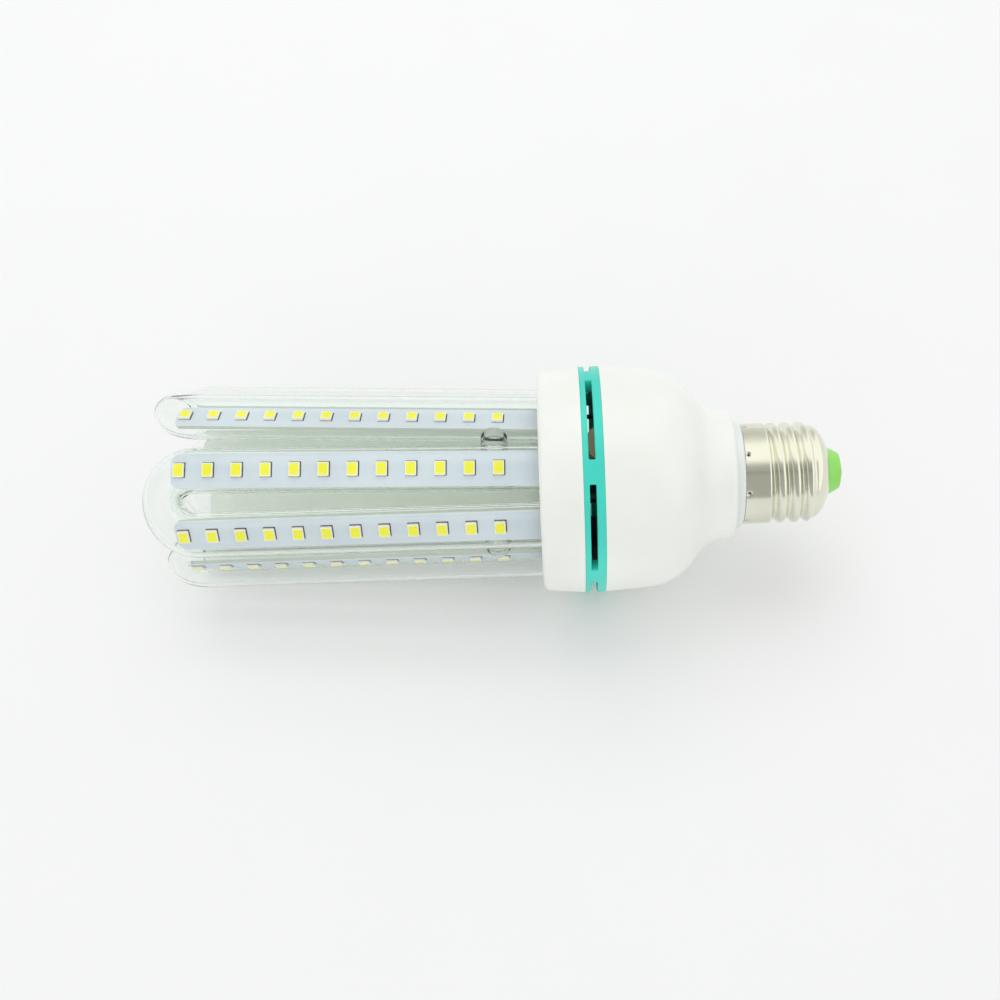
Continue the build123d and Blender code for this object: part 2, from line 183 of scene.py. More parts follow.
warmth = 0.96
shades = [
    (0.0, 0.55), (0.08, 0.40), (0.46, 0.36), (0.50, 0.26), (0.54, 0.36),
    (0.64, 0.42), (0.74, 1.0), (0.96, 1.0), (1.0, 0.66),
]
behind_from, behind_to, behind_shade = -0.30, 0.10, 0.62
side_from, side_to = 0.35, 0.6
room_shades = room.nodes.new("ShaderNodeValToRGB")
for place, shade in shades[1:-1]:
    room_shades.color_ramp.elements.new(place)
for stop, (place, shade) in zip(room_shades.color_ramp.elements, shades):
    stop.position, stop.color = place, (shade, shade, shade * warmth, 1)
dimmed = room.nodes.new("ShaderNodeVectorMath")
dimmed.operation = "SCALE"
bright_side = room.nodes.new("ShaderNodeMix")
bright_side.data_type = "RGBA"
side_share, room_colour, side_colour = (bright_side.inputs[i] for i in (0, 6, 7))
side_colour.default_value = (1.0, 1.0, 0.97, 1)
room.links.new(pointing(picture_up, -1.0, 1.0), room_shades.inputs["Fac"])
room.links.new(room_shades.outputs["Color"], dimmed.inputs[0])
room.links.new(pointing(to_camera, behind_from, behind_to, behind_shade), dimmed.inputs["Scale"])
room.links.new(dimmed.outputs["Vector"], room_colour)
room.links.new(pointing(picture_right, side_from, side_to), side_share)
room.links.new(bright_side.outputs[2], mirror_room.inputs["Color"])
print(len(shades), "shades in the mirrored room")

# %% [markdown]
# The Light Path node tells what kind of ray meets the world. A glossy ray that never went through glass
# sees the mirrored room, a camera ray sees the backdrop, and every other ray the plain sky.

# %% Which ray sees which light
which_ray = room.nodes.new("ShaderNodeLightPath")
outside_glass = room.nodes.new("ShaderNodeMath")
outside_glass.operation = "LESS_THAN"
outside_glass.inputs[1].default_value = 0.5
mirrored = room.nodes.new("ShaderNodeMath")
mirrored.operation = "MULTIPLY"
room.links.new(which_ray.outputs["Transmission Depth"], outside_glass.inputs[0])
room.links.new(which_ray.outputs["Is Glossy Ray"], mirrored.inputs[0])
room.links.new(outside_glass.outputs["Value"], mirrored.inputs[1])


def choose(share, otherwise, chosen):
    """The chosen light for rays whose share is 1, and the other one for the rest."""
    either = room.nodes.new("ShaderNodeMixShader")
    room.links.new(share, either.inputs["Fac"])
    room.links.new(otherwise, either.inputs[1])
    room.links.new(chosen, either.inputs[2])
    return either.outputs["Shader"]


lit = choose(mirrored.outputs["Value"], sky.outputs["Background"], mirror_room.outputs["Background"])
seen = choose(which_ray.outputs["Is Camera Ray"], lit, backdrop.outputs["Background"])
room.links.new(seen, room.nodes["World Output"].inputs["Surface"])
print("3 lights for 3 kinds of ray")

# %% [markdown]
# Two large lamps give the light a direction: one high behind the bulb, and a weak one low in front. They
# are hidden from glossy rays, because their square outlines would show in the metal.

# %% Lamps
def soft_lamp(name, place, size, power, target):
    """A square soft lamp that points at target."""
    data = bpy.data.lights.new(name, "AREA")
    data.shape, data.size, data.energy = "SQUARE", size, power
    lamp = bpy.data.objects.new(name, data)
    bpy.context.scene.collection.objects.link(lamp)
    lamp.location = place
    lamp.rotation_euler = (Vector(target) - Vector(place)).to_track_quat("-Z", "Y").to_euler()
    lamp.visible_glossy = False
    return lamp


middle = (cad_box[0] + cad_box[1]) / 2
back_place, back_size, back_power = (-0.05, 0.40, 0.80), 0.7, 1.6
front_place, front_size, front_power = (-0.25, -0.80, 0.30), 0.5, 0.4
back_lamp = soft_lamp("back_lamp", back_place, back_size, back_power, middle)
front_lamp = soft_lamp("front_lamp", front_place, front_size, front_power, middle)
print("lamps of", back_lamp.data.energy, "and", front_lamp.data.energy, "W")

# %% [markdown]
# ## Finishes
# A moulded or plated surface is never one flat colour. Each finish below starts from a Principled
# shader and lets soft noise vary its colour, its roughness and a fine bump. Noise reads Object
# coordinates, so it stays on the surface, and a Mapping node sets its scale and direction.

# %% Helpers for finishes
def colour(red, green, blue):
    """A colour as seen on screen, from 0 to 255, as the linear values that shaders use."""
    shares = (red / 255, green / 255, blue / 255)
    return tuple(((share + 0.055) / 1.055) ** 2.4 for share in shares) + (1,)


def new_finish(name, roughness, metallic=0.0):
    finish = bpy.data.materials.new(name)
    finish.use_nodes = True
    shader = finish.node_tree.nodes["Principled BSDF"]
    shader.inputs["Roughness"].default_value = roughness
    shader.inputs["Metallic"].default_value = metallic
    return finish, finish.node_tree, shader


print("mid grey on screen is", round(colour(128, 128, 128)[0], 3), "in a shader")


# %% Noise and what it drives
def mottle(tree, scale, detail=3.0):
    """Noise on the piece's own coordinates; scale is in waves per metre along x, y and z."""
    place = tree.nodes.new("ShaderNodeTexCoord")
    mapping = tree.nodes.new("ShaderNodeMapping")
    mapping.inputs["Scale"].default_value = scale
    grain = tree.nodes.new("ShaderNodeTexNoise")
    grain.inputs["Scale"].default_value = 1.0
    grain.inputs["Detail"].default_value = detail
    tree.links.new(place.outputs["Object"], mapping.inputs["Vector"])
    tree.links.new(mapping.outputs["Vector"], grain.inputs["Vector"])
    return grain.outputs["Fac"]


noise_low, noise_high = 0.3, 0.7


def tint(tree, shader, fac, dark, light):
    """Colour that wanders between two close shades."""
    ramp = tree.nodes.new("ShaderNodeValToRGB")
    for stop, place, shade in zip(ramp.color_ramp.elements, (noise_low, noise_high), (dark, light)):
        stop.position, stop.color = place, shade
    tree.links.new(fac, ramp.inputs["Fac"])
    tree.links.new(ramp.outputs["Color"], shader.inputs["Base Color"])


def vary_roughness(tree, shader, fac, low, high):
    """Gloss that wanders between two roughnesses."""
    spread = tree.nodes.new("ShaderNodeMapRange")
    spread.inputs["From Min"].default_value, spread.inputs["From Max"].default_value = noise_low, noise_high
    spread.inputs["To Min"].default_value, spread.inputs["To Max"].default_value = low, high
    tree.links.new(fac, spread.inputs["Value"])
    tree.links.new(spread.outputs["Result"], shader.inputs["Roughness"])


def relief(tree, shader, fac, strength, depth):
    """A bump of the given depth in metres."""
    bump = tree.nodes.new("ShaderNodeBump")
    bump.inputs["Strength"].default_value = strength
    bump.inputs["Distance"].default_value = depth
    tree.links.new(fac, bump.inputs["Height"])
    tree.links.new(bump.outputs["Normal"], shader.inputs["Normal"])


print("noise is spread from", noise_low, "to", noise_high)

# %% [markdown]
# ### Table
# The table is a sheet of white paper, matt, with a hardly visible cloudiness and a fine grain. It only
# carries the bulb for the picture.

# %% Table
table_size, table_drop = 4, 0.05 * mm
bpy.ops.object.select_all(action="DESELECT")
bpy.ops.mesh.primitive_plane_add(size=table_size, location=(0, 0, -table_drop))
table = bpy.context.object
table.name = "table"
white_paper, paper_tree, paper_shader = new_finish("white_paper", 0.9)
clouded, clear = (0.917, 0.922, 0.922, 1), (0.923, 0.928, 0.928, 1)
tint(paper_tree, paper_shader, mottle(paper_tree, (25, 25, 25)), clouded, clear)
relief(paper_tree, paper_shader, mottle(paper_tree, (900, 900, 900)), 0.1, 0.02 * mm)
table.data.materials.append(white_paper)
print("table of", table.dimensions.x, "m")

# %% [markdown]
# ### Moulded plastics
# The housing and the cover are the same white moulding, half gloss, so reflections on them are soft.
# The ring is teal, the insulator green. One function makes them all from their two shades.

# %% Plastics
def moulded(name, dark, light, smooth, matt, orange_peel=0.25):
    """Plastic between two shades and two roughnesses, with a fine orange-peel skin."""
    finish, tree, shader = new_finish(name, smooth)
    shader.inputs["IOR"].default_value = 1.5
    tint(tree, shader, mottle(tree, (60, 60, 60)), dark, light)
    vary_roughness(tree, shader, mottle(tree, (220, 220, 220)), smooth, matt)
    relief(tree, shader, mottle(tree, (2200, 2200, 2200), 2.0), orange_peel, 0.01 * mm)
    return finish


white_plastic = moulded("white_plastic", colour(240, 243, 236), colour(245, 248, 242), 0.30, 0.40)
teal_plastic = moulded("teal_plastic", colour(56, 212, 194), colour(72, 224, 206), 0.28, 0.38)
green_plastic = moulded("green_plastic", colour(143, 223, 97), colour(159, 233, 115), 0.32, 0.45)
print("3 plastics")

# %% [markdown]
# ### Nickel
# The cap is rolled from thin plated sheet. Rolling leaves very fine lines round the axis, so the
# noise is squeezed along the axis and stretched across it. The sheet is bright but not a mirror. Its stake
# dents, which the shell's mesh marks with an attribute called pit, are painted dark as painted shade.

# %% Plated metals
def plated(name, dark, light, smooth, matt):
    """Rolled and plated sheet between two shades and two roughnesses."""
    finish, tree, shader = new_finish(name, smooth, metallic=1.0)
    tint(tree, shader, mottle(tree, (90, 90, 90)), dark, light)
    vary_roughness(tree, shader, mottle(tree, (2400, 60, 60)), smooth, matt)
    relief(tree, shader, mottle(tree, (5200, 40, 40), 2.0), 0.10, 0.006 * mm)
    return finish


bright_nickel = plated("bright_nickel", colour(224, 224, 206), colour(236, 236, 220), 0.12, 0.21)
contact_metal = plated("contact_metal", colour(196, 188, 170), colour(212, 205, 188), 0.22, 0.36)
print("2 plated metals")

# %% Painted shade in the dents
nickel_tree = bright_nickel.node_tree
nickel_shader = nickel_tree.nodes["Principled BSDF"]
unshaded_sheet = nickel_shader.inputs["Base Color"].links[0].from_socket
pit_depth = nickel_tree.nodes.new("ShaderNodeAttribute")
pit_depth.attribute_name = "pit"
# Painted shade: where the pit attribute marks a stake dent, the nickel's colour turns dark, standing in for
# the shade inside the dent.
dent_shade = nickel_tree.nodes.new("ShaderNodeMix")
dent_shade.data_type = "RGBA"
dent_shade_share, unshaded_colour, dent_shade_colour = (dent_shade.inputs[i] for i in (0, 6, 7))
dent_shade_colour.default_value = colour(70, 66, 56)
nickel_tree.links.new(pit_depth.outputs["Fac"], dent_shade_share)
nickel_tree.links.new(unshaded_sheet, unshaded_colour)
nickel_tree.links.new(dent_shade.outputs[2], nickel_shader.inputs["Base Color"])
print("dirt follows the attribute", pit_depth.attribute_name)

# %% [markdown]
# ### Glass
# The tubes are drawn from clear glass. It is faintly green inside, which shows only at the edges, where
# one looks along the wall and so through more glass. The solids have both faces of the wall, so the
# shader can bend light as real glass does. Drawing leaves long shallow streaks along the tube. Clear
# glass hardly dims the light that passes it, so the tubes are hidden from shadow and diffuse rays, and
# the strips inside are lit as if they stood in the open.

# %% Glass
clear_glass, glass_tree, glass_shader = new_finish("clear_glass", 0.0)
glass_shader.inputs["Base Color"].default_value = (0.99, 0.997, 0.992, 1)
glass_shader.inputs["IOR"].default_value = 1.35
glass_shader.inputs["Transmission Weight"].default_value = 1.0
glass_shader.inputs["Specular IOR Level"].default_value = 0.35
relief(glass_tree, glass_shader, mottle(glass_tree, (8, 160, 160), 1.0), 0.03, 0.02 * mm)
green_inside = glass_tree.nodes.new("ShaderNodeVolumeAbsorption")
green_inside.inputs["Color"].default_value = (0.62, 0.90, 0.70, 1)
green_inside.inputs["Density"].default_value = 40
glass_tree.links.new(green_inside.outputs["Volume"], glass_tree.nodes["Material Output"].inputs["Volume"])
print("glass with index", glass_shader.inputs["IOR"].default_value)

# %% [markdown]
# ### Strips and LEDs
# A strip is a thin aluminium board. Its front has a pale blue-white coat, its back is bare metal, and
# its long cut edges are a little darker, which is painted shade. An LED is a white package with a
# lemon-yellow window. Its feet get the contact's metal. Dark solder under it shows on two of its sides
# and at the foot of those walls, and this dark finish is also painted shadow.

# %% Finishes of strips and LEDs
strip_coat = moulded("strip_coat", colour(206, 218, 225), colour(214, 226, 232), 0.42, 0.55)
bare_aluminium = moulded("bare_aluminium", colour(224, 233, 222), colour(233, 241, 231), 0.45, 0.60)
# Painted shade: the strip's long edges get a darker copy of the bare metal, for the shade line along the
# board.
shaded_edge = moulded("shaded_edge", colour(194, 202, 194), colour(206, 213, 206), 0.40, 0.55)
led_white = moulded("led_white", colour(244, 244, 236), colour(252, 252, 246), 0.40, 0.50)
led_window = moulded("led_window", colour(246, 243, 36), colour(252, 250, 56), 0.25, 0.35)
# Painted shadow: the dark solder finish also stands for the shadow beside each LED on two of its sides.
solder = plated("solder", colour(66, 62, 54), colour(92, 88, 78), 0.30, 0.45)
print("6 finishes for strips and LEDs")

# %% [markdown]
# ## Solids that keep their CAD shape
# The mouldings, the contact and the driver inside are right as they are, and only need a finish. The
# driver is hardly seen, through the ring's slots, but each of its parts still gets its own.

# %% Finish the CAD solids
def dress(node, finish):
    """Gives a solid one finish in place of the plain colour it came with."""
    mesh = nodes[node].data
    mesh.materials.clear()
    mesh.materials.append(finish)


kept = {
    "lower_housing": white_plastic,
    "tube_cover": white_plastic,
    "base_insulator": green_plastic,
    "centre_contact": contact_metal,
    "strip_links": contact_metal,
    "driver_board": moulded("board_green", colour(30, 92, 52), colour(40, 110, 62), 0.35, 0.5),
    "smoothing_capacitor": moulded("capacitor_sleeve", colour(20, 22, 30), colour(30, 32, 42), 0.25, 0.35),
    "transformer_core": moulded("ferrite", colour(44, 44, 46), colour(58, 58, 60), 0.55, 0.7, 0.5),
    "transformer_coil": plated("copper_winding", colour(170, 100, 50), colour(196, 124, 66), 0.3, 0.45),
    "film_capacitor": moulded("film_yellow", colour(200, 166, 40), colour(214, 180, 54), 0.3, 0.42),
    "varistor": moulded("varistor_tan", colour(186, 160, 122), colour(204, 180, 142), 0.35, 0.5),
    "rectifier": moulded("rectifier_black", colour(24, 24, 24), colour(36, 36, 36), 0.45, 0.6),
    "fuse_resistor": moulded("fuse_grey", colour(120, 132, 126), colour(138, 150, 144), 0.5, 0.65),
    "live_lead": moulded("lead_red", colour(168, 26, 22), colour(186, 38, 32), 0.35, 0.5),
    "neutral_lead": moulded("lead_black", colour(22, 22, 22), colour(34, 34, 34), 0.35, 0.5),
}
kept["strip_supply_lead"] = kept["live_lead"]
kept["strip_return_lead"] = kept["neutral_lead"]
for node, finish in kept.items():
    dress(node, finish)
print(len(kept), "solids keep their shape")

# %% [markdown]
# The collar round the cap gets a glossier copy of the white plastic, a little darker and cooler in
# colour, which is painted shade. Its faces are found by their height and radius, and get this second
# finish.

# %% Collar of the housing
collar_height, collar_depth, below_rim = 2.05 * mm, 2 * mm, 0.1 * mm
# Painted shade: the collar's colour is a darker, bluer copy of the housing's white.
collar_shaded_plastic = moulded("collar_shaded_plastic", colour(228, 233, 231), colour(235, 240, 238), 0.25, 0.35)
housing = nodes["lower_housing"].data
housing.materials.append(collar_shaded_plastic)
housing_at = upright("lower_housing")
collar_faces = 0
for face in housing.polygons:
    z, radius = housing_at[list(face.vertices)][:, 2:4].mean(axis=0)
    is_collar = z_rim - below_rim < z < z_rim + collar_height and radius > cap_radius - collar_depth
    face.material_index = int(is_collar)
    collar_faces += is_collar
print(collar_faces, "faces of the collar")

# %% [markdown]
# ## Helpers for new pieces
# Each new piece is started from a primitive with nothing else selected, and finished the same way: its
# mesh is laid down with the bulb, it rides on the bulb, and it stands for the solid it replaces.

# %% Start and finish a piece
def start_clean():
    """Leaves edit mode and deselects everything."""
    if bpy.context.object and bpy.context.object.mode != "OBJECT":
        bpy.ops.object.mode_set(mode="OBJECT")
    bpy.ops.object.select_all(action="DESELECT")


def work_on(piece):
    start_clean()
    piece.select_set(True)
    bpy.context.view_layer.objects.active = piece


def apply_modifiers(piece):
    work_on(piece)
    for modifier in list(piece.modifiers):
        bpy.ops.object.modifier_apply(modifier=modifier.name)


def pick_faces(piece, wanted):
    """Selects the faces for which wanted(face) is true, and nothing else."""
    bpy.ops.object.mode_set(mode="EDIT")
    bpy.ops.mesh.select_all(action="DESELECT")
    bpy.ops.mesh.select_mode(type="FACE")
    bpy.ops.object.mode_set(mode="OBJECT")
    for face in piece.data.polygons:
        face.select = wanted(face)
    bpy.ops.object.mode_set(mode="EDIT")


def join_bulb(piece, slot, *replaced):
    """Makes a piece ride on the bulb and stand for the solids it replaces."""
    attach(piece, "root")
    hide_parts(*replaced)
    print(piece.name, "has", len(piece.data.polygons), "faces and stands for", *replaced)


# %% [markdown]
# ## Screw shell
# The cap is one piece of sheet: a plain skirt, a round thread rolled into it, and an end drawn in to
# the insulator. It starts as a circle at the rim that is extruded down ring by ring. The rings are then
# moved in and out: a right-hand thread is a wave whose groove climbs one pitch in each turn. It is
# counted along the helix, so that the groove can run out into the skirt at its upper end, and it gets
# shallower over the housing's spigot, which fills the skirt. A power above 1 makes the crests broad and
# the grooves narrow. Eight small dents near the rim stake the cap to the housing, and a hair's breadth
# stays open at the collar.

# %% Sizes of the shell
thread_pitch, thread_phase = 3.629 * mm, 12.66 * mm
crest_radius, thread_root = cap_radius - 0.08 * mm, cap_radius - 1.15 * mm
groove_sharpness = 1.7
groove_end, run_out = radians(740), radians(35)
sheet_thick = 0.3 * mm
z_thread_end, dome_blend = z_mouth + 4.4 * mm, 1.2 * mm
dome_radius = cap_radius - 1.1 * mm
mouth_radius = shell_at[shell_at[:, 2] < z_mouth + 0.01 * mm][:, 3].min()
dent_count, dent_first, dent_drop = 8, radians(33.3), 1.0 * mm
dent_size, dent_depth = 0.40 * mm, 0.80 * mm

spigot = housing_at[housing_at[:, 2] < z_rim - 0.5 * mm]
z_spigot, spigot_radius, spigot_blend = spigot[:, 2].min(), spigot[:, 3].max(), 0.8 * mm
root_over_spigot = max(thread_root, spigot_radius + 1.2 * sheet_thick)
print(f"spigot from {z_spigot / mm:.2f} mm, radius {spigot_radius / mm:.2f} mm")


# %% Shape of the shell
def ease(x):
    x = min(max(x, 0.0), 1.0)
    return x * x * (3 - 2 * x)


def shell_radius(z, angle):
    """The radius of the shell at a height and an angle, and how deep in a dent that place is, 0 to 1."""
    turns = (z - thread_phase) / thread_pitch - angle / (2 * pi)
    groove = ((1 - cos(2 * pi * turns)) / 2) ** groove_sharpness
    along = angle + 2 * pi * floor(turns)
    over_spigot = ease((z - z_spigot) / spigot_blend + 1)
    root = thread_root + (root_over_spigot - thread_root) * over_spigot
    radius = crest_radius - (crest_radius - root) * groove * ease((groove_end - along) / run_out)
    if z < z_thread_end + dome_blend:
        fall = min(max((z_thread_end - z) / (z_thread_end - z_mouth), 0.0), 1.0)
        dome = mouth_radius + (dome_radius - mouth_radius) * (1 - fall ** 2)
        into = ease((z_thread_end + dome_blend - z) / dome_blend)
        radius = into * dome + (1 - into) * radius
    step = 2 * pi / dent_count
    off = (angle - dent_first) - step * round((angle - dent_first) / step)
    away = hypot(off * crest_radius, z - (z_rim - dent_drop)) / dent_size
    pit = exp(-away ** 2)
    return radius - dent_depth * pit, pit


print(f"skirt has a radius of {shell_radius(z_rim, 0)[0] / mm:.2f} mm")

# %% Extrude and shape the shell
shell_sides, ring_step = 288, 0.27 * mm
rim_gap = 0.25 * mm
z_top = z_rim - rim_gap
rings = round((z_top - z_mouth) / ring_step)
drop = (z_top - z_mouth) / rings
start_clean()
bpy.ops.mesh.primitive_circle_add(vertices=shell_sides, radius=cap_radius, location=(0, 0, z_top))
shell = bpy.context.object
shell.name = "threaded_shell"
bpy.ops.object.transform_apply(location=True)
bpy.ops.object.mode_set(mode="EDIT")
bpy.ops.mesh.select_all(action="SELECT")
for _ in range(rings):
    bpy.ops.mesh.extrude_region_move(TRANSFORM_OT_translate={"value": (0, 0, -drop)})
bpy.ops.object.mode_set(mode="OBJECT")
# The pit attribute shapes the dents and also darkens the nickel in them, as painted shade.
pits = shell.data.attributes.new("pit", "FLOAT", "POINT")
for corner, pit in zip(shell.data.vertices, pits.data):
    angle = atan2(corner.co.y, corner.co.x)
    radius, pit.value = shell_radius(corner.co.z, angle)
    corner.co = (radius * cos(angle), radius * sin(angle), corner.co.z)
print(rings, "rings of", shell_sides, "sides")

# %% Thicken the shell
bpy.ops.object.mode_set(mode="EDIT")
bpy.ops.mesh.select_all(action="SELECT")
bpy.ops.mesh.normals_make_consistent(inside=False)
bpy.ops.object.mode_set(mode="OBJECT")
sheet = shell.modifiers.new("sheet", "SOLIDIFY")
sheet.thickness, sheet.offset = sheet_thick, -1
apply_modifiers(shell)
bpy.ops.object.shade_smooth_by_angle(angle=radians(50))
shell.data.transform(lay)
shell.data.materials.append(bright_nickel)
join_bulb(shell, "bright_nickel", "screw_shell")

# %% [markdown]
# ## LEDs
# One LED is modelled and then repeated. A cube gets soft edges, its top is inset and sunk a little for
# the window, and two feet stand at its ends. Dark solder shows at two of its sides, which is also painted
# shadow on those sides. An Array modifier makes the row of a strip, and each of the eight rows is a
# copy with its own mesh, turned to its leg.

# %% One LED
led_width, led_height = 3.5 * mm, 0.8 * mm
base_height, led_edge = 0.14 * mm, 0.08 * mm
window_edge, window_sink = 0.14 * mm, 0.05 * mm
start_clean()
bpy.ops.mesh.primitive_cube_add(size=1, location=(0, 0, led_height / 2))
led = bpy.context.object
led.name = "led"
led.scale = (led_width, led_length, led_height)
bpy.ops.object.transform_apply(location=True, scale=True)
led_finishes = (led_white, led_window, solder, contact_metal)
for finish in led_finishes:
    led.data.materials.append(finish)
bpy.ops.object.mode_set(mode="EDIT")
bpy.ops.mesh.select_all(action="SELECT")
bpy.ops.mesh.bevel(offset=led_edge, segments=1, affect="EDGES")
bpy.ops.mesh.select_all(action="SELECT")
bpy.ops.mesh.bisect(plane_co=(0, 0, base_height), plane_no=(0, 0, 1))


def is_solder_and_shadow_foot(face):
    """True for the foot of the two walls that get the dark finish of solder and painted shadow."""
    return face.center.z < base_height and max(face.normal.x, -face.normal.y) > 0.5


pick_faces(led, is_solder_and_shadow_foot)
led.active_material_index = led_finishes.index(solder)
bpy.ops.object.material_slot_assign()
pick_faces(led, lambda face: face.normal.z > 0.99)
bpy.ops.mesh.inset(thickness=window_edge)
bpy.ops.mesh.extrude_region_move(TRANSFORM_OT_translate={"value": (0, 0, -window_sink)})
led.active_material_index = led_finishes.index(led_window)
bpy.ops.object.material_slot_assign()
bpy.ops.object.mode_set(mode="OBJECT")
print("LED with", len(led.data.polygons), "faces")

# %% Feet, solder and painted shadow of the LED
foot_size, soft_share = (0.30 * mm, 2.0 * mm, 0.20 * mm), 0.2
# The dark sheet under the LED sits off centre, so it shows on two sides only, as painted shadow.
solder_and_shadow_size, solder_and_shadow_at = (3.93 * mm, 3.06 * mm, 0.04 * mm), (0.115 * mm, -0.15 * mm)


def small_block(size, x, y, finish):
    """A block with soft edges that stands on the strip."""
    start_clean()
    bpy.ops.mesh.primitive_cube_add(size=1, location=(x, y, size[2] / 2))
    block = bpy.context.object
    block.scale = size
    bpy.ops.object.transform_apply(location=True, scale=True)
    bpy.ops.object.mode_set(mode="EDIT")
    bpy.ops.mesh.select_all(action="SELECT")
    bpy.ops.mesh.bevel(offset=size[2] * soft_share, segments=1, affect="EDGES")
    bpy.ops.object.mode_set(mode="OBJECT")
    for each in led_finishes:
        block.data.materials.append(each)
    for face in block.data.polygons:
        face.material_index = led_finishes.index(finish)
    return block


parts = [small_block(foot_size, side * led_width / 2, 0, contact_metal) for side in (-1, 1)]
parts.append(small_block(solder_and_shadow_size, *solder_and_shadow_at, solder))
start_clean()
for part in parts + [led]:
    part.select_set(True)
bpy.context.view_layer.objects.active = led
bpy.ops.object.join()
print("LED, feet and solder with", len(led.data.polygons), "faces")

# %% Rows of LEDs
z_strip_low = upright("led_strip_1")[:, 2].min()
led_tops = np.unique(np.round(led_at[:, 2], 6))
led_count = len(led_tops) // 2
led_pitch = (led_tops[-1] - led_tops[1]) / (led_count - 1)
row = led.modifiers.new("row", "ARRAY")
row.count, row.use_relative_offset, row.use_constant_offset = led_count, False, True
row.constant_offset_displace = (0, led_pitch, 0)
apply_modifiers(led)
print(led_count, "LEDs in a row, pitch", round(led_pitch / mm, 3), "mm")


# %% Where a strip lies
def strip_frame(leg):
    """Matrix from a strip's own frame (x across, y along, z outwards) to the upright bulb.

    The corners of a board spread most along it and least through it, so the three main directions of
    that spread are the board's own axes."""
    at = upright(f"led_strip_{leg}")[:, :3]
    middle = (at.max(0) + at.min(0)) / 2
    spread = np.linalg.eigh(np.cov((at - at.mean(0)).T))[1]
    along = Vector(spread[:, 2]) * (1 if spread[2, 2] > 0 else -1)
    outward = Vector(spread[:, 0])
    outward *= 1 if outward.dot(Vector(middle)) > 0 else -1
    across = along.cross(outward)
    reach = at @ np.array((across, along, outward)).T
    corner = Vector(((reach[:, 0].max() + reach[:, 0].min()) / 2, reach[:, 1].min(), reach[:, 2].max()))
    turned = Matrix((across, along, outward)).transposed().to_4x4()
    turned.translation = across * corner.x + along * corner.y + outward * corner.z
    return turned, reach.max(0) - reach.min(0)


print("strip 1 starts at", [round(c / mm, 2) for c in strip_frame(1)[0].translation], "mm, upright")

# %% Eight rows of LEDs
legs = range(1, 9)
first_led = Matrix.Translation((0, z_led - z_strip_low, 0))
for leg in legs:
    leds = bpy.data.objects.new(f"leds_{leg}", led.data.copy())
    bpy.context.scene.collection.objects.link(leds)
    leds.data.transform(lay @ strip_frame(leg)[0] @ first_led)
    join_bulb(leds, "led_yellow", f"led_row_{leg}")
bpy.data.objects.remove(led)

# %% [markdown]
# ## Strips
# The strip is a long board with two rounded corners at its free end. A cube is scaled to the solid's
# size, two edges are bevelled round, and then all its edges very slightly, as a punched board has. The
# front face gets the coat, the long sides a darker finish that is painted shade, and the rest stays bare
# metal.

# %% Board of a strip
strip_width, strip_length, strip_thick = (float(size) for size in strip_frame(1)[1])
corner_radius, corner_segments, punched_edge = 2.2 * mm, 10, 0.08 * mm
start_clean()
bpy.ops.mesh.primitive_cube_add(size=1, location=(0, strip_length / 2, -strip_thick / 2))
strip = bpy.context.object
strip.name = "strip"
strip.scale = (strip_width, strip_length, strip_thick)
bpy.ops.object.transform_apply(location=True, scale=True)
bpy.ops.object.mode_set(mode="EDIT")
bpy.ops.mesh.select_all(action="DESELECT")
bpy.ops.mesh.select_mode(type="EDGE")
bpy.ops.object.mode_set(mode="OBJECT")
for edge in strip.data.edges:
    ends = [strip.data.vertices[v].co for v in edge.vertices]
    edge.select = all(e.y > strip_length * 0.9 for e in ends) and abs(ends[0].x - ends[1].x) < 0.1 * mm
bpy.ops.object.mode_set(mode="EDIT")
bpy.ops.mesh.bevel(offset=corner_radius, segments=corner_segments, affect="EDGES")
bpy.ops.object.mode_set(mode="OBJECT")
edges = strip.modifiers.new("edges", "BEVEL")
edges.width, edges.segments = punched_edge, 1
edges.limit_method, edges.angle_limit = "ANGLE", radians(60)
apply_modifiers(strip)
strip_finishes = (bare_aluminium, strip_coat, shaded_edge)
for finish in strip_finishes:
    strip.data.materials.append(finish)
for face in strip.data.polygons:
    is_front, is_side = face.normal.z > 0.9, abs(face.normal.x) > 0.9
    finish = strip_coat if is_front else shaded_edge if is_side else bare_aluminium
    face.material_index = strip_finishes.index(finish)
print(f"strip {strip_width / mm:.2f} x {strip_length / mm:.2f} x {strip_thick / mm:.2f} mm")

# %% Eight strips
for leg in legs:
    board = bpy.data.objects.new(f"strip_{leg}", strip.data.copy())
    bpy.context.scene.collection.objects.link(board)
    board.data.transform(lay @ strip_frame(leg)[0])
    join_bulb(board, "strip_board", f"led_strip_{leg}")
bpy.data.objects.remove(strip)

# %% [markdown]
# ## Glass tubes
# The straight legs and the bridges of the solids are right, but a bend made by hand over a flame is
# not a perfect half ring: the tube gets narrower there, and the glass gathers and wrinkles on the
# inside of the bend. So each tube is a merged copy of its solid whose bend is then pushed into shape.

# %% Shape of a bend
tube_radius, tube_wall = 5.8 * mm, 0.8 * mm
bend_narrowing = 0.17
outer_gather, bore_gather = 0.07, 0.14
wrinkle_depth, wrinkle_size = 0.14 * mm, 2.6 * mm


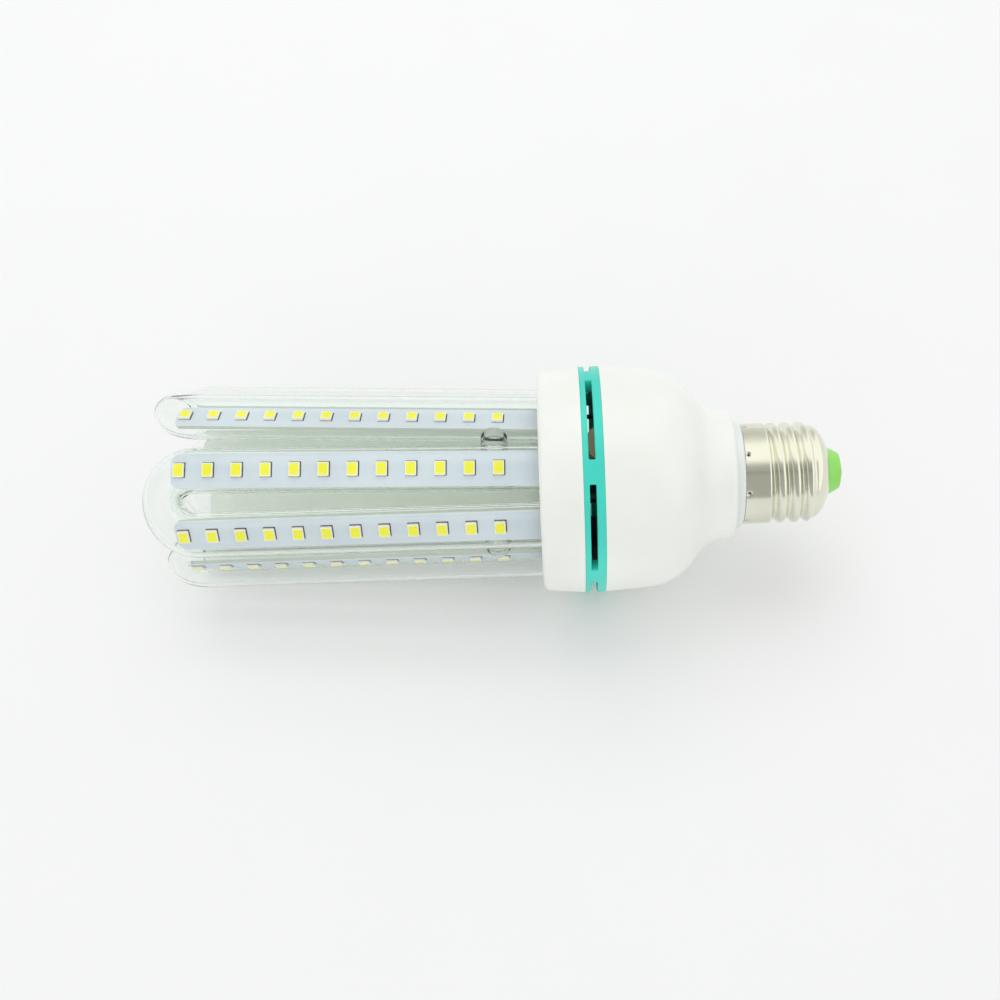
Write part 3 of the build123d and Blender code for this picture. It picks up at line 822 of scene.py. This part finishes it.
def shape_bend(at, bend_radius, seed):
    """The new place of a corner in a bend, its smooth normal and how far that normal holds there.

    The corner is given from the bend's centre: x along the bend, y up and z across it."""
    reach = hypot(at.x, at.y)
    outward, turn = Vector((at.x, at.y, 0)) / reach, at.y / reach
    off, across = reach - bend_radius, at.z
    flat = hypot(off, across)
    is_outside = flat > tube_radius - tube_wall / 2
    radius = tube_radius if is_outside else tube_radius - tube_wall
    off, across = off * radius / flat, across * radius / flat
    gather = (outer_gather if is_outside else bore_gather) * turn ** 2
    narrow = 1 - bend_narrowing * turn ** 2
    off = radius - (radius - off) * (1 - gather)
    across *= narrow
    slope = outward * ((off - radius * gather) / (1 - gather) ** 2) + Vector((0, 0, across / narrow ** 2))
    inside = ease((-off / radius - 0.1) / 0.5) * ease((turn - 0.6) / 0.3)
    wrinkle = noise.noise(Vector((at.x, at.y * 0.4, across)) / wrinkle_size + Vector(seed))
    off += wrinkle * wrinkle_depth * inside
    return outward * (bend_radius + off) + Vector((0, 0, across)), slope.normalized(), 1 - inside


print(f"tube of {2 * tube_radius / mm:.1f} mm, {bend_narrowing:.0%} narrower in the middle of its bend")

# %% [markdown]
# Glass shows every flaw of its normals, because they decide where light is bent to. The triangles of a
# long tube are thin slivers, so normals averaged from them wobble. A drawn tube is round, so here the
# normals are worked out instead: away from the leg's axis, or from the slope of the shaped bend. The
# triangles are also divided into smaller ones, whose new corners are put back on the round.

# %% Smooth normals
looks_that_way = 0.8


def set_round_normals(piece, ideal, trust):
    """Gives each corner of a face the ideal normal of its vertex, if the face looks that way at all."""
    mesh = piece.data
    ideal, trust = np.array(ideal), np.array(trust)
    own = np.array([n.vector for n in mesh.corner_normals])
    vertex = np.array([loop.vertex_index for loop in mesh.loops])
    facing = np.repeat([f.normal for f in mesh.polygons], [f.loop_total for f in mesh.polygons], axis=0)
    side = (facing * ideal[vertex]).sum(axis=1)
    share = (trust[vertex] * (abs(side) > looks_that_way))[:, None]
    blend = ideal[vertex] * np.sign(side)[:, None] * share + own * (1 - share)
    mesh.normals_split_custom_set((blend / np.linalg.norm(blend, axis=1)[:, None]).tolist())


print("a face takes the ideal normal if its own agrees by", looks_that_way)

# %% Where a bend lies
bend_zone, slice_half = 20 * mm, 0.2 * mm


def find_bend(glass, tube):
    """A tube's bend: the axes of its plane, its centre and radius, and for each leg a point and a way."""
    leg_frames = [strip_frame(2 * tube - 1 + side)[0] for side in (0, 1)]
    leg_ways = [leg.col[1].xyz for leg in leg_frames]
    along = (leg_ways[0] + leg_ways[1]).normalized()
    across = leg_frames[1].translation - leg_frames[0].translation
    across = (across - along * across.dot(along)).normalized()
    plane = Matrix((across, along, across.cross(along)))
    at = np.array([plane @ v.co for v in glass.data.vertices])
    top = at[at[:, 1] > at[:, 1].max() - bend_zone]
    half = (top[:, 0].max() - top[:, 0].min()) / 2
    crown = at[at[:, 1] > at[:, 1].max() - tube_radius][:, 2]
    centre = Vector((top[:, 0].min() + half, at[:, 1].max() - half, (crown.max() + crown.min()) / 2))
    start = at[abs(at[:, 1] - centre.y) < slice_half]
    leg_points = []
    for side in (-1, 1):
        ends = start[(start[:, 0] - centre.x) * side > 0]
        leg_points.append(plane.transposed() @ Vector((ends.max(0) + ends.min(0)) / 2))
    return plane, centre, half - tube_radius, list(zip(leg_points, leg_ways))


print(f"a bend lies in the last {bend_zone / mm:.0f} mm of its tube")

# %% Round the corners of a tube
above_legs, off_round = 0.01 * mm, 0.05 * mm


def round_corner(co, tube, bend):
    """A corner's new place, its smooth normal and how far that normal holds there."""
    plane, centre, bend_radius, leg_axes = bend
    off = plane @ co - centre
    if off.y > above_legs:
        seed = (tube * 3.7, tube * 1.9, 0.4)
        place, normal, share = shape_bend(off, bend_radius, seed)
        return plane.transposed() @ (centre + place), plane.transposed() @ normal, share
    point, way = leg_axes[1 if off.x > 0 else 0]
    away = co - point
    away -= way * away.dot(way)
    normal = away.normalized()
    for radius in (tube_radius, tube_radius - tube_wall):
        if abs(away.length - radius) < off_round:
            return co + normal * (radius - away.length), normal, 1.0
    return co.copy(), normal, 0.0


print(f"corners within {off_round / mm:.2f} mm of the round are put on it")

# %% Four tubes
glass_cuts, merge_gap = 3, 0.002 * mm
for tube in range(1, 5):
    node = f"u_tube_{tube}"
    glass = bpy.data.objects.new(f"glass_tube_{tube}", nodes[node].data.copy())
    bpy.context.scene.collection.objects.link(glass)
    work_on(glass)
    bpy.ops.mesh.customdata_custom_splitnormals_clear()
    bpy.ops.object.mode_set(mode="EDIT")
    bpy.ops.mesh.select_all(action="SELECT")
    bpy.ops.mesh.remove_doubles(threshold=merge_gap)
    bpy.ops.mesh.subdivide(number_cuts=glass_cuts)
    bpy.ops.object.mode_set(mode="OBJECT")
    glass.data.transform(lay.inverted())
    bend = find_bend(glass, tube)
    ideal, trust = [], []
    for corner in glass.data.vertices:
        corner.co, normal, share = round_corner(corner.co, tube, bend)
        ideal.append(lay.to_3x3() @ normal)
        trust.append(share)
    glass.data.transform(lay)
    glass.data.materials.clear()
    glass.data.materials.append(clear_glass)
    work_on(glass)
    bpy.ops.object.shade_smooth_by_angle(angle=radians(40))
    set_round_normals(glass, ideal, trust)
    glass.visible_shadow = glass.visible_diffuse = False
    join_bulb(glass, "clear_glass", node)
print(f"last bend has its centre at {bend[1].y / mm:.2f} mm and radius {bend[2] / mm:.2f} mm")

# %% [markdown]
# ## Vent ring
# The ring's profile is a band with a sleeve above and below. It is drawn as a loop of corners and spun
# round the axis. The profile has extra corners at the slots' lower and upper edge, so a slot is opened
# by deleting the quads of the band and the bore there, and bridging the two holes. All faces stay
# quads, and a Bevel modifier can give every edge the small rounding of a moulding.

# %% Profile of the ring
slot_sill, slot_height = 2.2 * mm, 1.6 * mm
ring_at = upright("vent_ring")
ring_radius, ring_bore = ring_at[:, 3].max(), ring_at[:, 3].min()
band = ring_at[ring_at[:, 3] > ring_radius - 0.01 * mm][:, 2]
z_ring, z_cover = band.min(), band.max()
z_sleeve = (ring_at[:, 2].min(), ring_at[:, 2].max())
sleeve_radius = ring_at[ring_at[:, 2] > z_sleeve[1] - 0.01 * mm][:, 3].max()
slot_low, slot_high = z_ring + slot_sill, z_ring + slot_sill + slot_height
profile = [
    (ring_bore, z_sleeve[0]), (sleeve_radius, z_sleeve[0]), (sleeve_radius, z_ring), (ring_radius, z_ring),
    (ring_radius, slot_low), (ring_radius, slot_high), (ring_radius, z_cover), (sleeve_radius, z_cover),
    (sleeve_radius, z_sleeve[1]), (ring_bore, z_sleeve[1]), (ring_bore, slot_high), (ring_bore, slot_low),
]
ring_steps = 240
start_clean()
bpy.ops.mesh.primitive_circle_add(vertices=len(profile), radius=1)
ring = bpy.context.object
ring.name = "slotted_ring"
for vertex, (radius, z) in zip(ring.data.vertices, profile):
    vertex.co = (radius, 0, z)
bpy.ops.object.mode_set(mode="EDIT")
bpy.ops.mesh.select_all(action="SELECT")
bpy.ops.mesh.spin(steps=ring_steps, angle=2 * pi, center=(0, 0, 0), axis=(0, 0, -1))
bpy.ops.mesh.select_all(action="SELECT")
bpy.ops.mesh.remove_doubles(threshold=merge_gap)
bpy.ops.mesh.normals_make_consistent(inside=False)
bpy.ops.object.mode_set(mode="OBJECT")
print(f"ring from {z_ring / mm:.2f} to {z_cover / mm:.2f} mm, radius {ring_radius / mm:.2f} mm")

# %% Slots
slot_count, slot_angle = 6, radians(48)
slot_pitch = 2 * pi / slot_count


def slot_off(co):
    """How far round a place lies from the middle of its nearest slot, and that slot's number."""
    turn = atan2(co.y, co.x) / slot_pitch - 0.5
    return abs(turn - round(turn)) * slot_pitch, round(turn) % slot_count


def in_slot(face):
    return slot_low < face.center.z < slot_high and slot_off(face.center)[0] < slot_angle / 2


pick_faces(ring, in_slot)
bpy.ops.mesh.delete(type="FACE")
for slot in range(slot_count):
    bpy.ops.mesh.select_mode(type="EDGE")
    bpy.ops.mesh.select_all(action="DESELECT")
    bpy.ops.mesh.select_non_manifold()
    bpy.ops.object.mode_set(mode="OBJECT")
    for edge in ring.data.edges:
        first_end, last_end = (ring.data.vertices[v].co for v in edge.vertices)
        edge.select = edge.select and slot_off((first_end + last_end) / 2)[1] == slot
    bpy.ops.object.mode_set(mode="EDIT")
    bpy.ops.mesh.bridge_edge_loops()
bpy.ops.mesh.select_all(action="SELECT")
bpy.ops.mesh.normals_make_consistent(inside=False)
bpy.ops.object.mode_set(mode="OBJECT")
print(slot_count, "slots,", len(ring.data.polygons), "faces")

# %% Rounded edges of the ring
ring_edge = 0.28 * mm
soften = ring.modifiers.new("soften", "BEVEL")
soften.width, soften.segments = ring_edge, 3
soften.limit_method, soften.angle_limit = "ANGLE", radians(40)
apply_modifiers(ring)
bpy.ops.object.shade_smooth_by_angle(angle=radians(35))
ring.data.transform(lay)
ring.data.materials.append(teal_plastic)
join_bulb(ring, "teal_plastic", "vent_ring")

# %% [markdown]
# ## Finish
# The view transform is Standard, so that colours come out as they were chosen.

# %% View transform
bpy.context.scene.view_settings.view_transform = "Standard"
